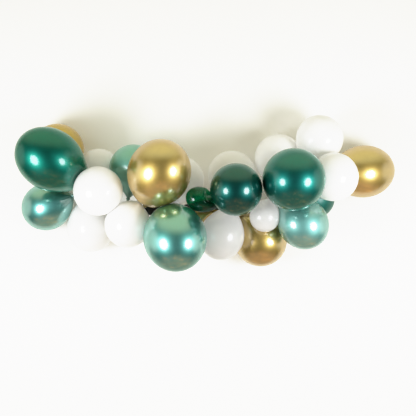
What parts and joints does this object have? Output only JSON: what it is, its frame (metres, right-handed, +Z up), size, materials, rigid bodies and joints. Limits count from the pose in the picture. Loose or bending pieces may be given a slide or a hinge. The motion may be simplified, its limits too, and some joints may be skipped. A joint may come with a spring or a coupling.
{
  "type": "balloon garland",
  "caption": "Wall-hung balloon garland: metallic green, mint and gold balloons with white ones and a small emerald one, clustered in three layers along a flat black band.",
  "frame": {"origin": "middle of the band's back face, where the garland is held; the wall is 190 mm behind it, at y = 0.19", "axes": "+X to the right along the garland, +Y towards the wall, +Z up"},
  "size_m": [1.6649, 0.5539, 0.6644],
  "materials": {
    "dark_green_chrome": "metallic latex, dark emerald green, softly mirrored",
    "mint_chrome": "metallic latex, mint green, softly mirrored",
    "gold_chrome": "metallic latex, gold, softly mirrored",
    "white_latex": "white latex, satin",
    "emerald_latex": "see-through emerald latex, glossy",
    "black_band": "matt black woven tape"
  },
  "bodies": {
    "root": {"gold_balloon_behind_left": "gold_chrome", "mint_balloon_far_left": "mint_chrome", "white_balloon_left_low": "white_latex", "white_balloon_left_behind": "white_latex", "white_balloon_centre_behind_left": "white_latex", "gold_balloon_centre_behind": "gold_chrome", "white_balloon_centre_behind_right": "white_latex", "gold_balloon_low": "gold_chrome", "white_balloon_right_top_left": "white_latex", "dark_green_balloon_right_behind": "dark_green_chrome", "gold_balloon_far_right": "gold_chrome", "mint_balloon_left_behind": "mint_chrome", "white_balloon_left_low_front": "white_latex", "mint_balloon_right_low": "mint_chrome", "white_balloon_right_top": "white_latex", "white_balloon_right": "white_latex", "white_balloon_centre_low": "white_latex", "white_balloon_small": "white_latex", "dark_green_balloon_far_left": "dark_green_chrome", "white_balloon_left_front": "white_latex", "gold_balloon_front": "gold_chrome", "mint_balloon_front": "mint_chrome", "emerald_balloon_small": "emerald_latex", "dark_green_balloon_centre": "dark_green_chrome", "dark_green_balloon_front": "dark_green_chrome", "carrying_band": "black_band"}
  },
  "joints": []
}
